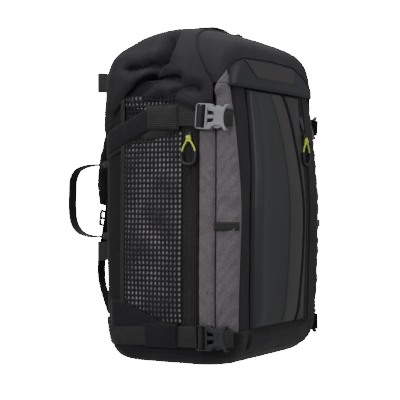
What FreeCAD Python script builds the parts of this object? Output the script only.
"""Ski boot bag: a tall boxy backpack with a domed lid, mesh boot pockets and side-release straps.

Millimetres. +Z is up, the front door faces -Y, the wearer's back is at +Y, and the origin is the
centre of the flat base face. Each sewn panel, board, buckle half and zip piece is its own solid.
"""
import FreeCAD
import Part
import os
from math import acos, hypot, pi, tan

V = FreeCAD.Vector

# ---- overall body ---------------------------------------------------------------------------
half_width = 167.0        # centre to the outer face of a side wall
front_y = -140.0          # outer face of the front wall
rear_y = 123.0            # outer face of the back panel
shell = 3.0               # coated fabric with its foam
tray_top = 60.0           # upper edge of the moulded-look base tray
wall_top = 486.0          # upper edge of the walls, and the lid's fold line
fold_gap = 0.8            # space along a zipped or folded edge
layer_gap = 0.3           # space between a moving piece and what it lies on

# base tray rings: height, side inset, front inset, rear inset, corner radius
tray_rings = (
    (0.0, 32.0, 32.0, 25.0, 24.0),
    (8.0, 15.0, 14.0, 10.0, 30.0),
    (25.0, 4.0, 3.0, 3.0, 28.0),
    (tray_top, 0.0, 0.0, 0.0, 16.0),
)
# hood rings: rise above the walls, side inset, front inset, rear inset, corner radius
hood_rings = (
    (0.0, 0.0, 0.0, 0.0, 16.0),
    (26.0, 3.0, 0.0, 1.0, 28.0),
    (56.0, 12.0, 3.0, 3.0, 40.0),
    (76.0, 33.0, 17.0, 10.0, 50.0),
    (95.0, 59.0, 60.0, 20.0, 50.0),
    (110.0, 88.0, 118.0, 47.0, 42.0),
    (118.0, 122.0, 155.0, 77.0, 14.0),
)
hood_split_x = 96.0       # seams between the hood's shoulders and its middle
zip_arch_low_y = 39.0     # lid zip at the fold line, behind the front wall
zip_arch_high_y = 115.0   # lid zip at its crown, behind the front wall
zip_arch_rise = 114.0     # height of the crown above the fold line

# ---- back, boards and pads ------------------------------------------------------------------
board_thick = 2.0
board_margin = 6.0        # board edge to the tray's inner wall, at the tray floor
sheet_thick = 2.5
sheet_half_width = half_width - 49.0
sheet_top = wall_top - 24.0
stay_width = 20.0
stay_thick = 3.0
stay_x = 55.0
stay_length = sheet_top - 92.0
divider_x = 52.0          # boot pocket dividers
divider_thick = 2.0
divider_top = wall_top - 56.0
pad_thick = 13.0
pad_inner_x = 20.0
pad_outer_x = half_width - 55.0
pad_low = 190.0
pad_high = wall_top - 36.0
lumbar_low = 85.0
lumbar_high = 175.0
lumbar_half_width = half_width - 61.0

# ---- sides ----------------------------------------------------------------------------------
corner_y = front_y + shell         # inner face of the front wall
gusset_seam_y = front_y + 33.0
gusset_rear_y = front_y + 67.0
zip_half = 16.0           # half the width of a side zip's tape
zip_line_y = gusset_rear_y + zip_half
mesh_front_y = zip_line_y + zip_half
mesh_rear_y = rear_y - 42.0
mesh_low = 69.0
mesh_high = wall_top - 12.0
mesh_thick = 2.0
tape_thick = 1.5
side_zip_low = 76.0
patch_slant_low_y = mesh_front_y + 21.0
patch_slant_high = 108.0
gear_loop_low = 236.0
gear_loop_height = 15.0
gear_loop_gap = 3.0
webbing_thick = 2.0

# ---- front ----------------------------------------------------------------------------------
door_half_width = half_width - 62.0
door_thick = 5.6
door_low = 62.5
door_high = wall_top - 8.0
door_tape_width = 12.0
door_tape_thick = 1.6
stripe_thick = 1.2
band_low = 28.0
band_high = 58.0
flap_low = wall_top + 3.0
flap_half_width = half_width - 29.0
flap_thick = 2.5
# taupe stripe on the door: height, left edge, right edge
stripe_edges = (
    (door_high - 8.0, -21.0, 23.0),
    (345.0, 14.0, 66.0),
    (235.0, 18.0, 73.0),
    (110.0, 6.0, 59.0),
    (70.0, 0.0, 52.0),
)

# ---- side-release buckles and their straps ----------------------------------------------------
webbing_half = 19.0       # half the width of the compression webbing
buckle_half = webbing_half + 3.0
socket_length = 48.0
socket_height = 10.0
socket_floor = 1.5
socket_wall = 4.0
socket_cavity_half = buckle_half - socket_wall
cavity_length = 34.0
side_window_r = 16.0      # the prongs are pressed through a round bite in each side
side_window_x = 19.0
top_window = (12.0, 24.0)
top_window_half = 5.0
web_bar_slot = (38.0, 44.0)
prong_clear = 0.5
prong_root = (9.0, 13.5)  # inner and outer face of a prong where it leaves the frame
prong_tip = ((12.0, 10.0), (26.0, 12.0), (28.0, 14.0))   # forward and across, along the inner face
prong_barb = (22.0, 17.0) # where the barb reaches the cavity's wall
prong_neck = (15.0, 14.0)
tongue_length = 24.0
tongue_half = 3.0
ladder_slots = (3.0, 12.0)
ladder_slot_length = 6.0
mouth_y = front_y + 48.0  # where clip and socket meet
buckle_stand = 5.5        # underside of the buckle above the side wall
clip_frame_length = 24.0
clip_low = 1.0
clip_high = 7.0
upper_strap_z = wall_top - 56.0
lower_strap_z = 53.0
clip_travel = 30.0
keeper_front = 55.0       # behind the mouth
keeper_length = 70.0
keeper_wall = 1.2
keeper_clear = 0.5
strap_in_keeper = 32.0
wing_rear_y = rear_y - 5.0
wing_rear_half = 11.0

# ---- handles and loops ------------------------------------------------------------------------
side_handle_x = 19.5 - half_width
side_handle_half = 12.5
side_handle_low = 222.0
side_handle_high = 352.0
side_handle_reach = 77.0
handle_stand = 8.0        # hinge line of the side handle behind the back panel
side_handle_corner = 16.0
handle_web_thick = 3.0
top_handle_half = 42.0
top_handle_y = front_y + zip_arch_high_y + 15.0
top_handle_web_half = 11.0
top_handle_stand = 4.0    # above the lid zip's crown
top_handle_rise = 11.0
loop_half = 18.0          # half the loop webbing's width, which stands upright
loop_reach = 29.0
loop_web_thick = 2.5
loop_gap = 8.0
loop_heights = (196.0, wall_top + 14.0)
loop_inset = 21.0         # loop's middle from the side wall

# ---- shoulder straps --------------------------------------------------------------------------
strap_top_x = 62.0
strap_top_z = wall_top - 8.0
strap_low_x = half_width - 29.0
strap_low_z = 70.0
strap_pad_half = 31.0
strap_pad_thick = 10.0
strap_web_half = 12.5
lock_half = 20.0
lock_length = 30.0
lock_thick = 5.0
lock_bar = 4.5
lock_at = (214.0, 38.2)   # start of the lock along the strap, and its height off the back
strap_pad_line = ((34.0, 32.0), (70.0, 44.0), (120.0, 51.0), (170.0, 50.0), (205.0, 43.0))
strap_web_line = ((196.0, 35.5), (240.0, 36.5), (300.0, 40.0), (350.0, 33.0), (388.0, 16.0),
                  (402.0, 7.0))
strap_hang_line = ((10.0, 6.0), (20.0, 16.0), (34.0, 28.0))

# ---- zip sliders and pulls --------------------------------------------------------------------
slider_length = 13.0
slider_half = 4.5
slider_thick = 3.6
bail_thick = 1.6
cord_d = 3.0
grip_r = 3.5
grip_clear = 0.2
side_slider_z = upper_strap_z - buckle_half - 15.0
door_slider_z = door_high - 80.0
lid_slider_x = 62.0
lid_cord_d = 2.4
# a pull's cord, across and along it, from one end of the loop to the other
pull_route = ((-1.9, 0.0), (-1.9, 8.0), (-11.0, 20.0), (-15.0, 36.0), (-10.0, 50.0),
              (10.0, 50.0), (15.0, 36.0), (11.0, 20.0), (1.9, 8.0), (1.9, 0.0))
lid_route = ((-1.6, 0.0), (-1.9, 10.0), (-4.6, 24.0), (-5.0, 40.0), (-3.2, 50.0),
             (3.2, 50.0), (5.0, 40.0), (4.6, 24.0), (1.9, 10.0), (1.6, 0.0))
grip_run = 10.0           # how far the grip runs past the loop's widest points

parts = {}


def box(x0, x1, y0, y1, z0, z1):
    """A block between two corners given in any order."""
    low = V(min(x0, x1), min(y0, y1), min(z0, z1))
    return Part.makeBox(abs(x1 - x0), abs(y1 - y0), abs(z1 - z0), low)


def prism(corners, along):
    """A polygon of points pushed along a vector."""
    closed = list(corners) + [corners[0]]
    return Part.Face(Part.makePolygon(closed)).extrude(along)


def fuse(solids):
    """One solid from touching ones."""
    return solids[0].multiFuse(solids[1:]).removeSplitter()


def ring(z, half, y0, y1, radius):
    """A rounded rectangle at one height, as eight edges from the same starting corner."""
    r = radius
    dip = r * (1.0 - 0.5 ** 0.5)
    edges = []
    edges.append(Part.makeLine(V(-half + r, y0, z), V(half - r, y0, z)))
    edges.append(Part.Arc(V(half - r, y0, z), V(half - dip, y0 + dip, z), V(half, y0 + r, z)).toShape())
    edges.append(Part.makeLine(V(half, y0 + r, z), V(half, y1 - r, z)))
    edges.append(Part.Arc(V(half, y1 - r, z), V(half - dip, y1 - dip, z), V(half - r, y1, z)).toShape())
    edges.append(Part.makeLine(V(half - r, y1, z), V(-half + r, y1, z)))
    edges.append(Part.Arc(V(-half + r, y1, z), V(-half + dip, y1 - dip, z), V(-half, y1 - r, z)).toShape())
    edges.append(Part.makeLine(V(-half, y1 - r, z), V(-half, y0 + r, z)))
    edges.append(Part.Arc(V(-half, y0 + r, z), V(-half + dip, y0 + dip, z), V(-half + r, y0, z)).toShape())
    return Part.Wire(edges)


def ring_stack(rings, base, wall, lift):
    """A solid through rounded rectangles, drawn in by a wall and moved up or down by a lift."""
    wires = []
    for rise, side, front, rear, radius in rings:
        wires.append(ring(base + rise + lift, half_width - side - wall, front_y + front + wall,
                          rear_y - rear - wall, radius - wall))
    return Part.makeLoft(wires, True, True)


# ---- base -------------------------------------------------------------------------------------
tray_outer = ring_stack(tray_rings, 0.0, 0.0, 0.0)
tray_inner = ring_stack(tray_rings, 0.0, shell, shell)
parts["base_panel"] = tray_outer.cut(tray_inner)
floor_half = half_width - tray_rings[0][1] - shell
parts["base_board"] = box(-floor_half + board_margin, floor_half - board_margin,
                          front_y + tray_rings[0][2] + shell + board_margin,
                          rear_y - tray_rings[0][3] - shell - board_margin,
                          shell, shell + board_thick)

# ---- back panel, frame and pads -----------------------------------------------------------------
inner_x = half_width - shell
back_inner_y = rear_y - shell
parts["back_panel"] = box(-inner_x, inner_x, back_inner_y, rear_y, tray_top, wall_top)
sheet_front_y = back_inner_y - sheet_thick
parts["frame_sheet"] = box(-sheet_half_width, sheet_half_width, sheet_front_y, back_inner_y,
                           tray_top + shell, sheet_top)
stay_low = tray_top + shell + board_margin
stays = [box(x - stay_width / 2, x + stay_width / 2, sheet_front_y - stay_thick, sheet_front_y,
             stay_low, stay_low + stay_length) for x in (-stay_x, stay_x)]
parts["frame_stays"] = Part.makeCompound(stays)
pad_solids = [box(side * pad_inner_x, side * pad_outer_x, rear_y, rear_y + pad_thick,
                  pad_low, pad_high) for side in (-1, 1)]
pad_solids.append(box(-lumbar_half_width, lumbar_half_width, rear_y, rear_y + pad_thick,
                      lumbar_low, lumbar_high))
parts["back_pads"] = Part.makeCompound([pad.makeFillet(pad_thick / 3, pad.Edges) for pad in pad_solids])


# ---- sides --------------------------------------------------------------------------------------
def side_plate(side, outline, stand, thick):
    """A plate on a side wall: outline of (y, z), standing off the wall's outer face."""
    x = side * (half_width + stand)
    return prism([V(x, y, z) for y, z in outline], V(side * thick, 0, 0))


def rectangle(y0, y1, z0, z1):
    """A four-cornered outline."""
    return [(y0, z0), (y1, z0), (y1, z1), (y0, z1)]


mesh_outline = [(mesh_front_y, mesh_low), (patch_slant_low_y, mesh_low), (mesh_rear_y, patch_slant_high),
                (mesh_rear_y, mesh_high), (mesh_front_y, mesh_high)]
patch_outline = [(patch_slant_low_y, mesh_low), (mesh_rear_y, mesh_low), (mesh_rear_y, patch_slant_high)]
loop_face = gear_loop_gap + webbing_thick
patches = []
tapes = []
gear_loops = []
for name, side in (("left", -1), ("right", 1)):
    wall = box(side * inner_x, side * half_width, gusset_rear_y, rear_y, tray_top, wall_top)
    parts[name + "_side_panel"] = wall
    front_strip = box(side * inner_x, side * half_width, corner_y, gusset_seam_y, tray_top, wall_top)
    rear_strip = box(side * inner_x, side * half_width, gusset_seam_y, gusset_rear_y, tray_top, wall_top)
    parts[name + "_gusset"] = Part.makeCompound([front_strip, rear_strip])
    parts[name + "_mesh_panel"] = side_plate(side, mesh_outline, 0.0, mesh_thick)
    patches.append(side_plate(side, patch_outline, 0.0, mesh_thick))
    tapes.append(side_plate(side, rectangle(gusset_rear_y, mesh_front_y, side_zip_low, wall_top - shell),
                            0.0, tape_thick))
    bridge = side_plate(side, rectangle(corner_y, gusset_seam_y, gear_loop_low,
                                        gear_loop_low + gear_loop_height), 0.0, loop_face)
    hollow = side_plate(side, rectangle(corner_y + webbing_thick, gusset_seam_y - webbing_thick,
                                        gear_loop_low, gear_loop_low + gear_loop_height),
                        0.0, gear_loop_gap)
    gear_loops.append(bridge.cut(hollow))
parts["corner_patches"] = Part.makeCompound(patches)
parts["side_zip_tapes"] = Part.makeCompound(tapes)
parts["gear_loops"] = Part.makeCompound(gear_loops)
for name, side in (("left", -1), ("right", 1)):
    parts[name + "_boot_divider"] = box(side * divider_x, side * (divider_x + divider_thick),
                                        corner_y + tray_rings[2][2] + layer_gap,
                                        sheet_front_y - stay_thick - layer_gap,
                                        tray_rings[2][0] + shell, divider_top)

# ---- front --------------------------------------------------------------------------------------
mouth_half = door_half_width - shell
for name, side in (("left", -1), ("right", 1)):
    parts[name + "_front_strip"] = box(side * mouth_half, side * half_width, front_y, corner_y,
                                       tray_top, wall_top)
parts["lower_front_band"] = box(-door_half_width, door_half_width, front_y - shell, front_y,
                                band_low, band_high)
door_back_y = front_y - layer_gap
door_face_y = door_back_y - door_thick
parts["front_door"] = box(-door_half_width, door_half_width, door_back_y, door_face_y,
                          door_low, door_high)
left_line = [V(left, door_face_y, z) for z, left, right in stripe_edges]
right_line = [V(right, door_face_y, z) for z, left, right in reversed(stripe_edges)]
parts["door_stripe"] = prism(left_line + right_line, V(0, -stripe_thick, 0))
tape_outer_x = door_half_width + door_tape_width
parts["door_zip_tape"] = box(door_half_width, tape_outer_x, door_back_y, door_back_y - door_tape_thick,
                             door_low, door_high)

# ---- hood and lid ---------------------------------------------------------------------------------
hood_outer = ring_stack(hood_rings, wall_top, 0.0, 0.0)
hood_inner = ring_stack(hood_rings, wall_top, shell, -shell)
hood_shell = hood_outer.cut(hood_inner)
far = 3 * half_width
low_cut = V(0, front_y + zip_arch_low_y, wall_top)
high_cut = V(0, front_y + zip_arch_high_y, wall_top + zip_arch_rise)
slope = high_cut.sub(low_cut)
over = low_cut + slope * 2
under = low_cut - slope
lid_zone = prism([V(-far, under.y, under.z), V(-far, over.y, over.z), V(-far, front_y - far, over.z),
                  V(-far, front_y - far, under.z)], V(2 * far, 0, 0))
rear_shell = hood_shell.cut(lid_zone)
lid_tool = lid_zone.copy()
lid_tool.translate(V(0, -fold_gap, 0))
lid_floor = box(-far, far, front_y - far, rear_y + far, wall_top + fold_gap, wall_top + far)
parts["lid"] = hood_shell.common(lid_tool).common(lid_floor)
middle = box(-hood_split_x, hood_split_x, -far, far, wall_top, wall_top + far)
for name, side in (("left", -1), ("right", 1)):
    outer_zone = box(side * hood_split_x, side * far, -far, far, wall_top, wall_top + far)
    parts["hood_" + name] = rear_shell.common(outer_zone)
parts["hood_rear"] = rear_shell.common(middle)
parts["front_flap"] = box(-flap_half_width, flap_half_width, front_y - flap_thick, front_y,
                          flap_low, wall_top + hood_rings[1][0])


# ---- side-release buckles ---------------------------------------------------------------------------
def on_side(shape, side, z):
    """Turns a buckle piece, drawn with x forward, y across and z outward, onto a side wall."""
    base = side * (half_width + buckle_stand)
    turn = FreeCAD.Matrix(0, 0, side, base, -1, 0, 0, mouth_y, 0, -side, 0, z, 0, 0, 0, 1)
    return shape.transformGeometry(turn)


def buckle_socket():
    """The half that stays on the bag: a flat box open at its mouth, with windows and a web bar."""
    body = box(0, socket_length, -buckle_half, buckle_half, 0, socket_height)
    body = body.makeFillet(2.0, [edge for edge in body.Edges if edge.Length > buckle_half])
    cavity = box(-1, cavity_length, -socket_cavity_half, socket_cavity_half,
                 socket_floor, socket_height - socket_floor)
    cuts = [cavity]
    for side in (-1, 1):
        centre = V(side_window_x, side * (buckle_half + side_window_r / 2), -1)
        cuts.append(Part.makeCylinder(side_window_r, socket_height + 2, centre))
    cuts.append(box(*top_window, -top_window_half, top_window_half, socket_height / 2, socket_height + 1))
    cuts.append(box(*web_bar_slot, -socket_cavity_half, socket_cavity_half, -1, socket_height + 1))
    for cut in cuts:
        body = body.cut(cut)
    return body


def buckle_clip():
    """The half that slides out: a ladder frame, a guide tongue and two side prongs."""
    rear = -clip_frame_length
    shoulder = -prong_clear
    slot_half = webbing_half + 1.0
    frame = box(rear, shoulder, -buckle_half, buckle_half, clip_low, clip_high)
    for slot_x in ladder_slots:
        frame = frame.cut(box(rear + slot_x, rear + slot_x + ladder_slot_length, -slot_half, slot_half,
                              0, socket_height))
    low = socket_floor + prong_clear
    high = socket_height - socket_floor - prong_clear
    reach = socket_cavity_half - prong_clear
    inside = shoulder - 1
    solids = [frame, box(inside, tongue_length, -tongue_half, tongue_half, low, high)]
    for side in (-1, 1):
        outline = [(inside, prong_root[0]), *prong_tip, (prong_barb[0], reach), (prong_barb[1], reach),
                   prong_neck, (inside, prong_root[1])]
        corners = [V(x, side * y, low) for x, y in outline]
        solids.append(prism(corners, V(0, 0, high - low)))
    return fuse(solids)


def strap_web():
    """The clip's webbing: flat into its keeper, and wrapped once over the ladder bar."""
    rear = -clip_frame_length
    low = clip_low - layer_gap - webbing_thick
    flat_high = clip_low - layer_gap
    top = clip_high + layer_gap
    rear_leg, front_leg = [rear + slot_x + (ladder_slot_length - webbing_thick) / 2
                           for slot_x in ladder_slots]
    tail = -keeper_front - strap_in_keeper
    half = webbing_half
    solids = [box(tail, front_leg + webbing_thick, -half, half, low, flat_high)]
    solids.append(box(front_leg, front_leg + webbing_thick, -half, half, low, top + webbing_thick))
    solids.append(box(rear_leg, front_leg + webbing_thick, -half, half, top, top + webbing_thick))
    solids.append(box(rear_leg, rear_leg + webbing_thick, -half, half, flat_high + layer_gap,
                      top + webbing_thick))
    return fuse(solids)


def strap_keeper():
    """The folded sleeve that the webbing slides in."""
    low = clip_low - layer_gap - webbing_thick - keeper_clear
    high = clip_low - layer_gap + keeper_clear
    half = webbing_half + keeper_clear
    rear = -keeper_front - keeper_length
    wall = keeper_wall
    outer = box(rear, -keeper_front, -half - wall, half + wall, low - wall, high + wall)
    return outer.cut(box(rear - 1, 1 - keeper_front, -half, half, low, high))


sockets = []
keepers = []
wings = []
anchors = []
keeper_rear_y = mouth_y + keeper_front + keeper_length
for side_name, side in (("left", -1), ("right", 1)):
    for row_name, z in (("upper", upper_strap_z), ("lower", lower_strap_z)):
        sockets.append(on_side(buckle_socket(), side, z))
        keepers.append(on_side(strap_keeper(), side, z))
        parts[side_name + "_" + row_name + "_buckle_clip"] = on_side(buckle_clip(), side, z)
        parts[side_name + "_" + row_name + "_strap_web"] = on_side(strap_web(), side, z)
    wings.append(side_plate(side, [(keeper_rear_y, upper_strap_z - webbing_half),
                                   (wing_rear_y, upper_strap_z - webbing_half),
                                   (wing_rear_y, upper_strap_z + wing_rear_half),
                                   (keeper_rear_y, upper_strap_z + webbing_half)],
                            mesh_thick, webbing_thick))
    anchors.append(side_plate(side, rectangle(keeper_rear_y, wing_rear_y, lower_strap_z - webbing_half,
                                              lower_strap_z + webbing_half),
                              mesh_thick, webbing_thick))
parts["buckle_sockets"] = Part.makeCompound(sockets)
parts["strap_keepers"] = Part.makeCompound(keepers)
parts["upper_wings"] = Part.makeCompound(wings)
parts["lower_anchor_straps"] = Part.makeCompound(anchors)

# ---- handles and loops --------------------------------------------------------------------------------
handle_base_y = rear_y + handle_stand
handle_far_y = rear_y + handle_stand + side_handle_reach


def webbing_bow(points, half, axis, thick):
    """Webbing along a bent line: each run is a thick plate, widened along an axis."""
    plates = []
    for start, end in zip(points, points[1:]):
        along = end.sub(start).normalize()
        across = along.cross(axis).normalize() * (thick / 2)
        past = along * (thick / 2)
        corners = [start - past + across, end + past + across, end + past - across, start - past - across]
        plates.append(prism([corner - axis * half for corner in corners], axis * (2 * half)))
    return fuse(plates)


corner = side_handle_corner
side_line = [V(side_handle_x, handle_base_y, side_handle_low),
             V(side_handle_x, handle_far_y - corner, side_handle_low + corner / 2),
             V(side_handle_x, handle_far_y, side_handle_low + 2 * corner),
             V(side_handle_x, handle_far_y, side_handle_high - 2 * corner),
             V(side_handle_x, handle_far_y - corner, side_handle_high - corner / 2),
             V(side_handle_x, handle_base_y, side_handle_high)]
parts["side_handle"] = webbing_bow(side_line, side_handle_half, V(1, 0, 0), handle_web_thick)

top_z = wall_top + zip_arch_rise + top_handle_stand
top_line = [V(-top_handle_half, top_handle_y, top_z),
            V(-top_handle_half + corner, top_handle_y, top_z + top_handle_rise),
            V(top_handle_half - corner, top_handle_y, top_z + top_handle_rise),
            V(top_handle_half, top_handle_y, top_z)]
parts["top_handle"] = webbing_bow(top_line, top_handle_web_half, V(0, 1, 0), handle_web_thick)

loops = []
loop_outer = loop_gap / 2 + loop_web_thick
loop_root_y = rear_y - 2 * loop_web_thick
for side in (-1, 1):
    x = side * (half_width - loop_inset)
    for z in loop_heights:
        outer = box(x - loop_outer, x + loop_outer, loop_root_y, rear_y + loop_reach,
                    z - loop_half, z + loop_half)
        inner = box(x - loop_gap / 2, x + loop_gap / 2, loop_root_y - 1,
                    rear_y + loop_reach - loop_web_thick, z - loop_half - 1, z + loop_half + 1)
        behind = box(-far, far, -far, rear_y, 0, wall_top)
        loops.append(outer.cut(inner).cut(behind).cut(hood_outer))
parts["edge_loops"] = Part.makeCompound(loops)


# ---- shoulder straps -------------------------------------------------------------------------------------
def strap_frame(side):
    """The strap's own axes: from its top anchor down, out from the back, and across."""
    top = V(side * strap_top_x, rear_y, strap_top_z)
    low = V(side * strap_low_x, rear_y, strap_low_z)
    down = low.sub(top).normalize()
    out = V(0, 1, 0)
    return top, down, out, down.cross(out)


def strap_point(side, along, off):
    """A point on the strap's middle line."""
    top, down, out, across = strap_frame(side)
    return top + down * along + out * off


for name, side in (("left", -1), ("right", 1)):
    top, down, out, across = strap_frame(side)
    pad_points = [strap_point(side, s, n) for s, n in strap_pad_line]
    pad = webbing_bow(pad_points, strap_pad_half, across, strap_pad_thick)
    hang_points = [strap_point(side, s, n) for s, n in strap_hang_line]
    hanger = webbing_bow(hang_points, strap_web_half, across, webbing_thick)
    parts[name + "_shoulder_strap"] = fuse([pad, hanger])
    web_points = [strap_point(side, s, n) for s, n in strap_web_line]
    parts[name + "_strap_webbing"] = webbing_bow(web_points, strap_web_half, across, webbing_thick)
    start = strap_point(side, *lock_at)
    plate = prism([start - across * lock_half, start + across * lock_half,
                   start + across * lock_half + down * lock_length,
                   start - across * lock_half + down * lock_length], out * lock_thick)
    slot_length = (lock_length - 3 * lock_bar) / 2
    for index in (0, 1):
        at = start + down * (lock_bar + index * (lock_bar + slot_length)) - out * 1
        half = across * (lock_half - lock_bar)
        plate = plate.cut(prism([at - half, at + half, at + half + down * slot_length,
                                 at - half + down * slot_length], out * (lock_thick + 2)))
    parts[name + "_strap_lock"] = plate


# ---- zip sliders and pulls -----------------------------------------------------------------------------------
def turn_angle(a, b, c):
    """How far a route turns at its middle point."""
    return acos(max(-1.0, min(1.0, (b - a).normalize().dot((c - b).normalize()))))


def route_radii(points):
    """Arc radii as large as the two runs at each point allow."""
    radii = []
    for a, b, c in zip(points, points[1:], points[2:]):
        shorter = min((b - a).Length, (c - b).Length)
        radii.append(0.45 * shorter / tan(turn_angle(a, b, c) / 2))
    return radii


def route_wire(points, radii):
    """Straight runs joined by tangent arcs."""
    edges = []
    here = points[0]
    for a, b, c, radius in zip(points, points[1:], points[2:], radii):
        back = (a - b).normalize()
        ahead = (c - b).normalize()
        half_turn = turn_angle(a, b, c) / 2
        reach = radius * tan(half_turn)
        start = b + back * reach
        end = b + ahead * reach
        middle = (back + ahead).normalize()
        depth = hypot(radius, reach) - radius
        edges.append(Part.makeLine(here, start))
        edges.append(Part.Arc(start, b + middle * depth, end).toShape())
        here = end
    edges.append(Part.makeLine(here, points[-1]))
    return Part.Wire(edges)


def tube(wire, radius):
    """A round tube along a wire."""
    start = wire.Edges[0].Vertexes[0].Point
    heading = wire.Edges[0].tangentAt(wire.Edges[0].FirstParameter)
    circle = Part.Wire([Part.makeCircle(radius, start, heading)])
    return wire.makePipeShell([circle], True, False)


def pull(name, route, pivot, along, across, diameter, grip):
    """A zip pull: its cord loop, and the rubber grip over the far end."""
    points = [pivot + across * a + along * b for a, b in route]
    radii = route_radii(points)
    wire = route_wire(points, radii)
    cord = tube(wire, diameter / 2)
    parts[name + "_pull_cord"] = cord
    ratio = cord.Volume / (wire.Length * pi * (diameter / 2) ** 2)
    print(name, "pull cord length", round(wire.Length, 1), "radii", [round(r, 1) for r in radii],
          "volume ratio", round(ratio, 3))
    if grip:
        low, high = 3, len(points) - 4
        first = points[low] + (points[low - 1] - points[low]).normalize() * grip_run
        last = points[high] + (points[high + 1] - points[high]).normalize() * grip_run
        held = [first] + points[low:high + 1] + [last]
        sleeve = route_wire(held, radii[low - 1:high])
        outer = tube(sleeve, grip_r)
        parts[name + "_pull_grip"] = outer.cut(tube(sleeve, diameter / 2 + grip_clear))


def slider(centre, along, across, out):
    """A zip slider: a body, and the bail over it that the cord loops through."""
    def block(s0, s1, w, t0, t1):
        corner_a = centre + along * s0 - across * w + out * t0
        return prism([corner_a, corner_a + along * (s1 - s0), corner_a + along * (s1 - s0) + across * (2 * w),
                      corner_a + across * (2 * w)], out * (t1 - t0))
    body = block(0, slider_length, slider_half, 0, slider_thick)
    post_high = slider_thick + bail_thick
    posts = block(1.0, slider_length - 1.0, slider_half / 3, slider_thick, post_high)
    return fuse([body, posts])


up = V(0, 0, 1)
cord_stand = slider_thick + bail_thick + cord_d / 2 + layer_gap
for name, side in (("left", -1), ("right", 1)):
    out = V(side, 0, 0)
    face = V(side * (half_width + tape_thick + layer_gap), zip_line_y, side_slider_z)
    parts[name + "_zip_slider"] = slider(face, up, V(0, 1, 0), out)
    pull(name, pull_route, face + out * cord_stand + up * (slider_length / 2), V(0, 0, -1),
         V(0, 1, 0), cord_d, True)
door_line_x = door_half_width + door_tape_width / 2
door_slider_face = V(door_line_x, door_back_y - door_tape_thick - layer_gap, door_slider_z)
parts["door_zip_slider"] = slider(door_slider_face, up, V(1, 0, 0), V(0, -1, 0))
door_pull_y = door_face_y - grip_r - 2 * layer_gap
door_pivot = V(door_line_x, door_pull_y, door_slider_z + slider_length / 2)
pull("door", pull_route, door_pivot, V(0, 0, -1), V(1, 0, 0), cord_d, True)
lid_face_z = wall_top + hood_rings[-2][0] + 2 * layer_gap
lid_slider_y = front_y + zip_arch_high_y - slider_half - fold_gap
parts["lid_zip_slider"] = slider(V(lid_slider_x, lid_slider_y, lid_face_z), V(-1, 0, 0), V(0, 1, 0), up)
lid_along = V(0, -3, -1).normalize()
lid_pivot = V(lid_slider_x - slider_length / 2, lid_slider_y, lid_face_z + cord_stand)
pull("lid", lid_route, lid_pivot, lid_along, V(1, 0, 0), lid_cord_d, False)

os.makedirs("parts", exist_ok=True)
for node, shape in parts.items():
    shape.exportStep("parts/" + node + ".step")
print(len(parts), "nodes")
